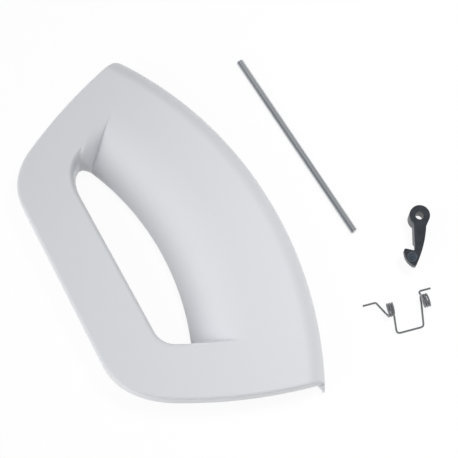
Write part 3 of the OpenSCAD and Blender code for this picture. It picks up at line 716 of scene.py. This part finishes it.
hook_mesh.to_mesh(hook_data)
hook_mesh.free()
hook = place_mesh(hook_data, crease=32)

# the round mark: bluish, with two lighter rings, by the distance from its centre
mark_place, mark_r = np.array([81.71, -69.03, 5.3]), 3.2
iron, blued = (0.046, 0.053, 0.061), (0.048, 0.066, 0.090)
dark_casting, tree, casting = node_material("dark_casting", Metallic=0.35, Specular_IOR_Level=0.5)
place = put(tree, "ShaderNodeTexCoord").outputs["Object"]
from_mark = put(tree, "ShaderNodeVectorMath", {0: place, 1: mark_place * MM}, operation="SUBTRACT")
mark_gap = put(tree, "ShaderNodeVectorMath", {0: from_mark.outputs[0]}, operation="LENGTH")
mark_share = put(tree, "ShaderNodeMath", {0: mark_gap.outputs["Value"], 1: 1 / (mark_r * MM)},
                 operation="MULTIPLY")
mark = ramp(tree, mark_share.outputs[0],
            (0.00, blued), (0.22, (0.046, 0.063, 0.086)), (0.30, (0.10, 0.125, 0.155)), (0.40, blued),
            (0.58, (0.066, 0.085, 0.110)), (0.70, (0.15, 0.17, 0.195)), (0.78, iron), (1.00, iron))
skinned(tree, casting, skin_grain, Colour=mark, Roughness=0.40, Broad_Scale=320.0,
        Tone_Spread=0.9, Rough_Spread=0.25, Fine_Scale=1300.0, Relief=0.00013)
hook_data.materials.append(dark_casting)
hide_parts("latch_hook")
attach(hook, "root")

# ---------------------------------------------------------------- torsion spring
# One length of drawn spring wire: a bridge, two coils that sit on the pin, and two cranked legs
# that push the grip back.
wire_d, coil_play, coil_turns, coil_pitch, coil_gap = 1.0, 1.1, 3, 1.2, 14.4
bridge_l, leg_l, crank_l = 11.7, 6.0, 6.6
wire_r = wire_d / 2
coil_r = (pin_r * 2 + coil_play + wire_d) / 2
coil_low = wire_r + wire_d * 1.15
bridge_set, leg_set = -coil_pitch * 1.5, -coil_pitch * 3
spring_place, spring_turn = np.array([67.5, -87.3, floor_z]), -17.5


def wire_bend(p, v, q, r, count=9):
    """A rounded corner at v between the lines to p and q, as a parabola of about radius r."""
    a, b = unit(p - v), unit(q - v)
    t = r * np.tan((np.pi - np.arccos(np.clip(a @ b, -1, 1))) / 2)
    s = np.linspace(0, 1, count)[:, None]
    return (1 - s) ** 2 * (v + a * t) + 2 * s * (1 - s) * v + s * s * (v + b * t)


def coil_run(side, last, count):
    """The coil: a circle across the axis while the wire moves outwards by the pitch each turn."""
    a = np.linspace(0, last, count) * 2 * np.pi
    return np.stack([side * (coil_gap / 2 + coil_pitch * a / 2 / np.pi), coil_r * np.sin(a),
                     coil_low + coil_r * (1 - np.cos(a))], -1)


def spring_half(side):
    """From the middle of the bridge over its corner and the coil to the leg's cranked end."""
    coil = coil_run(side, coil_turns - 0.125, 120)
    knee = np.array([side * (coil_gap / 2 + coil_turns * coil_pitch) + leg_set, leg_l, wire_r])
    swing = 0.2 if side < 0 else 0.04
    dip = np.array([coil[-1, 0] + (knee[0] - coil[-1, 0]) * swing, 0, wire_r])
    corner = np.array([side * (coil_gap / 2 - wire_d * 0.3) + bridge_set, -bridge_l, wire_r])
    tip = knee + [side * crank_l, 0, 0]
    return np.concatenate([
        wire_bend(np.array([0, -bridge_l, wire_r]), corner, coil[0], wire_d * 1.8), coil,
        wire_bend(coil[-1], dip, knee, wire_d * 0.8), wire_bend(dip, knee, tip, wire_d * 1.2), [tip]])


def even_path(path, step):
    """The same path with points at even steps, each moved half of the way to the middle between
    its neighbours."""
    reach = np.concatenate([[0], np.cumsum(np.linalg.norm(np.diff(path, axis=0), axis=1))])
    at = np.linspace(0, reach[-1], int(reach[-1] / step))
    path = np.stack([np.interp(at, reach, path[:, k]) for k in range(3)], -1)
    inside = (path[:-2] + 2 * path[1:-1] + path[2:]) / 4
    return np.concatenate([path[:1], inside, path[-1:]])


def wire_rings(path, r, around):
    """A round wire along a path, as rings that stand across it. A slanted guide, which no stretch of
    the wire runs along, gives each ring a first radius. The small turns that these radii make about
    the wire are added up and taken back, so the rings don't twist. Both ends are blunt."""
    tangent = unit(np.gradient(path, axis=0))
    guide = unit(np.cross(tangent, [1.0, 0.0, 1.0]))
    guide_up = np.cross(tangent, guide)
    carried = guide[:-1] - tangent[1:] * (guide[:-1] * tangent[1:]).sum(1, keepdims=True)
    turn = np.arctan2((carried * guide_up[1:]).sum(1), (carried * guide[1:]).sum(1))
    twist = np.concatenate([[0], np.cumsum(turn)])[:, None]
    side = np.cos(twist) * guide + np.sin(twist) * guide_up
    up = np.cross(tangent, side)
    a = np.linspace(0, 2 * np.pi, around, endpoint=False)[None, :, None]
    rings = path[:, None] + r * (np.cos(a) * side[:, None] + np.sin(a) * up[:, None])
    first, last = (path[k] + (rings[k] - path[k]) * 0.72 + way * tangent[k] * r * 0.18
                   for k, way in ((0, -1), (-1, 1)))
    return np.concatenate([[first], rings, [last]])


rings = wire_rings(even_path(np.concatenate([spring_half(-1)[::-1], spring_half(1)]), 0.22), wire_r, 16)
plan_turn = np.array([[*along(spring_turn), 0], [*along(spring_turn + 90), 0], [0, 0, 1]])
spring = new_object("spring_wire", rings @ plan_turn + spring_place, skin_faces(*rings.shape[:2]),
                    crease=50)

spring_steel, tree, steel = node_material("spring_steel", Metallic=0.7)
skinned(tree, steel, skin_grain, Colour=(0.27, 0.28, 0.29, 1), Roughness=0.42, Broad_Scale=180.0,
        Tone_Spread=0.5, Rough_Spread=0.2, Fine_Scale=900.0, Relief=0.000002)
spring.data.materials.append(spring_steel)
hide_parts("torsion_spring")
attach(spring, "root")
